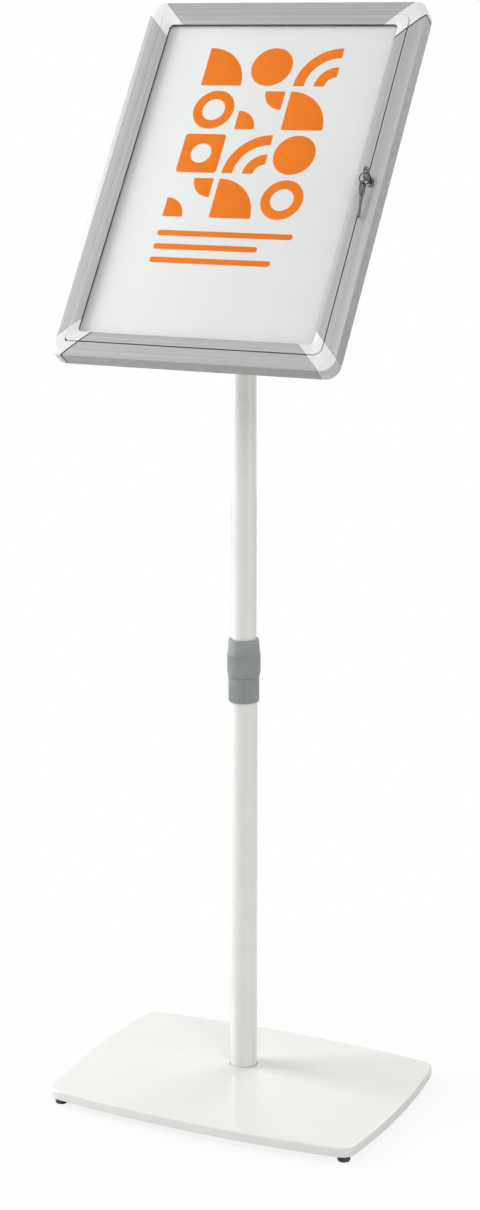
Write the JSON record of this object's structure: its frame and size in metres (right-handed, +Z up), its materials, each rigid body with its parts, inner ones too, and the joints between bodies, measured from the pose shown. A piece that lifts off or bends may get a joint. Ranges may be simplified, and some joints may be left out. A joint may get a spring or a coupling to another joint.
{
  "type": "lockable notice board stand",
  "caption": "Free-standing portrait notice board with a hinged, lockable glazed door, tilted back on a telescopic pole with a clamp collar and a low weighted base.",
  "frame": {"origin": "centre of the stand's bounding box, on the floor", "axes": "+Z up, -Y towards the reader in front of the board, +X to the reader's right"},
  "size_m": [0.4004, 0.313, 1.2576],
  "materials": {
    "white_paint": "white powder coat, satin",
    "ballast_iron": "dark primed",
    "dark_rubber": "matt",
    "zinc_steel": "zinc plated",
    "grey_plastic": "grey, fine grain",
    "inner_plastic": "natural",
    "black_plastic": "black, fine grain",
    "rail_aluminium": "satin anodised, drawn lengthwise",
    "pale_plastic": "off-white, semi-gloss",
    "panel_sheet": "pale grey sheet",
    "paper": "printed paper",
    "clear_sheet": "clear",
    "lock_chrome": "bright plated",
    "key_nickel": "nickel plated"
  },
  "bodies": {
    "base": {"base_cover": "white_paint", "ballast_plate": "ballast_iron", "foot_front_left": "dark_rubber", "foot_front_right": "dark_rubber", "foot_rear_left": "dark_rubber", "foot_rear_right": "dark_rubber", "pole_foot_plug": "zinc_steel", "base_bolt": "zinc_steel", "lower_tube": "white_paint", "collar_sleeve": "grey_plastic", "collet": "inner_plastic"},
    "nut": {"twist_nut": "grey_plastic"},
    "guide": {"guide_plug": "inner_plastic"},
    "mast": {"upper_tube": "white_paint", "tilt_knuckle": "grey_plastic"},
    "board": {"tilt_bracket": "zinc_steel", "bracket_screw_1": "zinc_steel", "bracket_screw_2": "zinc_steel", "bracket_screw_3": "zinc_steel", "bracket_screw_4": "zinc_steel", "tilt_washer_left": "inner_plastic", "tilt_washer_right": "inner_plastic", "tilt_bolt": "zinc_steel", "frame_rail_bottom": "rail_aluminium", "frame_rail_right": "rail_aluminium", "frame_rail_top": "rail_aluminium", "frame_rail_left": "rail_aluminium", "frame_corner_bottom_left": "pale_plastic", "frame_corner_bottom_right": "pale_plastic", "frame_corner_top_right": "pale_plastic", "frame_corner_top_left": "pale_plastic", "back_panel": "panel_sheet", "poster": "paper", "hinge_pin_top": "zinc_steel", "hinge_pin_bottom": "zinc_steel", "lock_barrel": "lock_chrome", "lock_clip": "zinc_steel"},
    "tilt_hand_knob": {"tilt_knob": "black_plastic"},
    "door": {"door_rail_bottom": "rail_aluminium", "door_rail_right": "rail_aluminium", "door_rail_top": "rail_aluminium", "door_rail_left": "rail_aluminium", "door_corner_bottom_left": "pale_plastic", "door_corner_bottom_right": "pale_plastic", "door_corner_top_right": "pale_plastic", "door_corner_top_left": "pale_plastic", "door_glazing": "clear_sheet"},
    "lock_cylinder": {"lock_plug": "lock_chrome"},
    "lock_key": {"key": "key_nickel"},
    "ring": {"key_ring": "key_nickel"},
    "hanging_key": {"spare_key": "key_nickel"}
  },
  "joints": [
    {"name": "collar_twist", "type": "hinge", "parent": "base", "child": "nut", "pos_m": [-0.0166, 0.02239, 0.52], "axis": [0, 0, 1], "range_deg": [0, 120]},
    {"name": "height_slide", "type": "slide", "parent": "base", "child": "guide", "axis": [0, 0, 1], "range_m": [-0.24, 0.15]},
    {"name": "mast_swivel", "type": "hinge", "parent": "guide", "child": "mast", "pos_m": [-0.0166, 0.02239, 0.32], "axis": [0, 0, 1], "continuous": true},
    {"name": "board_tilt", "type": "hinge", "parent": "mast", "child": "board", "pos_m": [-0.0166, 0.02239, 1.0115], "axis": [-1, 0, 0], "range_deg": [-35, 55]},
    {"name": "knob_turn", "type": "hinge", "parent": "board", "child": "tilt_hand_knob", "pos_m": [-0.0166, 0.02239, 1.0115], "axis": [1, 0, 0], "continuous": true},
    {"name": "door_swing", "type": "hinge", "parent": "board", "child": "door", "pos_m": [-0.1662, 0.00899, 1.06837], "axis": [0, -0.5736, -0.8192], "range_deg": [0, 95]},
    {"name": "lock_turn", "type": "hinge", "parent": "board", "child": "lock_cylinder", "pos_m": [0.1422, 0.00571, 1.06823], "axis": [0, 0.8192, -0.5736], "range_deg": [0, 90]},
    {"name": "key_pull", "type": "slide", "parent": "lock_cylinder", "child": "lock_key", "axis": [0, -0.8192, 0.5736], "range_m": [0, 0.02]},
    {"name": "ring_swing", "type": "hinge", "parent": "lock_key", "child": "ring", "pos_m": [0.1422, -0.0119, 1.07896], "axis": [-0.9063, -0.4226, 0], "range_deg": [0, 100]},
    {"name": "hanging_key_swing", "type": "hinge", "parent": "ring", "child": "hanging_key", "pos_m": [0.14006, -0.0129, 1.06786], "axis": [-1, 0, 0], "range_deg": [0, 50]}
  ]
}
